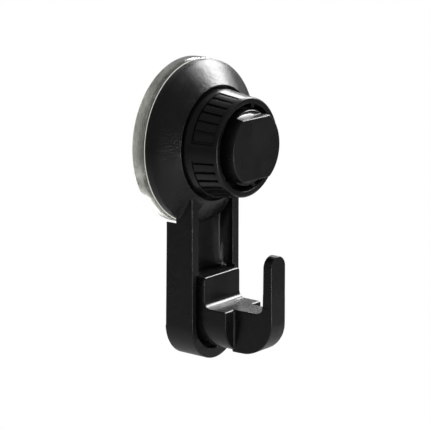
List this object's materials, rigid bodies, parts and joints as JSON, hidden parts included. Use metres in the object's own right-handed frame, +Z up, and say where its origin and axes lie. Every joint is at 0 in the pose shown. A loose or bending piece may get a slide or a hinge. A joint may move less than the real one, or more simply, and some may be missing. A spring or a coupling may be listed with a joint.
{
  "type": "suction cup hook",
  "caption": "Twist-lock suction cup hook: clear suction pad in a hollow dome, ribbed locking knob with flatted cap, and a channelled arm carrying a square-shelved hook.",
  "frame": {"origin": "centre of the suction pad's sealing face, on the wall plane and the cup's axis", "axes": "+Y points into the wall, -Y out of it along the cup's axis, +Z up with the hook's tip upwards, +X to the right seen from the front"},
  "size_m": [0.06, 0.0421, 0.1098],
  "materials": {
    "clear_pad": "clear soft plastic, glossy",
    "black_spindle": "moulded, satin",
    "black_housing": "moulded, fine spark-eroded grain",
    "black_knob": "moulded, satin",
    "black_cap": "moulded, matt",
    "black_hook": "moulded, satin",
    "zinc_screw": "zinc plated"
  },
  "bodies": {
    "base": {"housing": "black_housing", "suction_pad": "clear_pad", "hook": "black_hook", "hook_screw_upper": "zinc_screw", "hook_screw_lower": "zinc_screw"},
    "lock_knob": {"knob": "black_knob"},
    "spindle_and_cap": {"spindle": "black_spindle", "centre_cap": "black_cap"}
  },
  "joints": [
    {"name": "knob_turn", "type": "hinge", "parent": "base", "child": "lock_knob", "pos_m": [0, -0.02, 0], "axis": [0, 1, 0], "range_deg": [0, 225]},
    {"name": "spindle_lift", "type": "slide", "parent": "base", "child": "spindle_and_cap", "axis": [0, -1, 0], "range_m": [0, 0.0025], "deforming": ["suction_pad"]}
  ],
  "couplings": [
    {"joint": "spindle_lift", "follows": "knob_turn", "m_per_rad": 0.00063662}
  ]
}
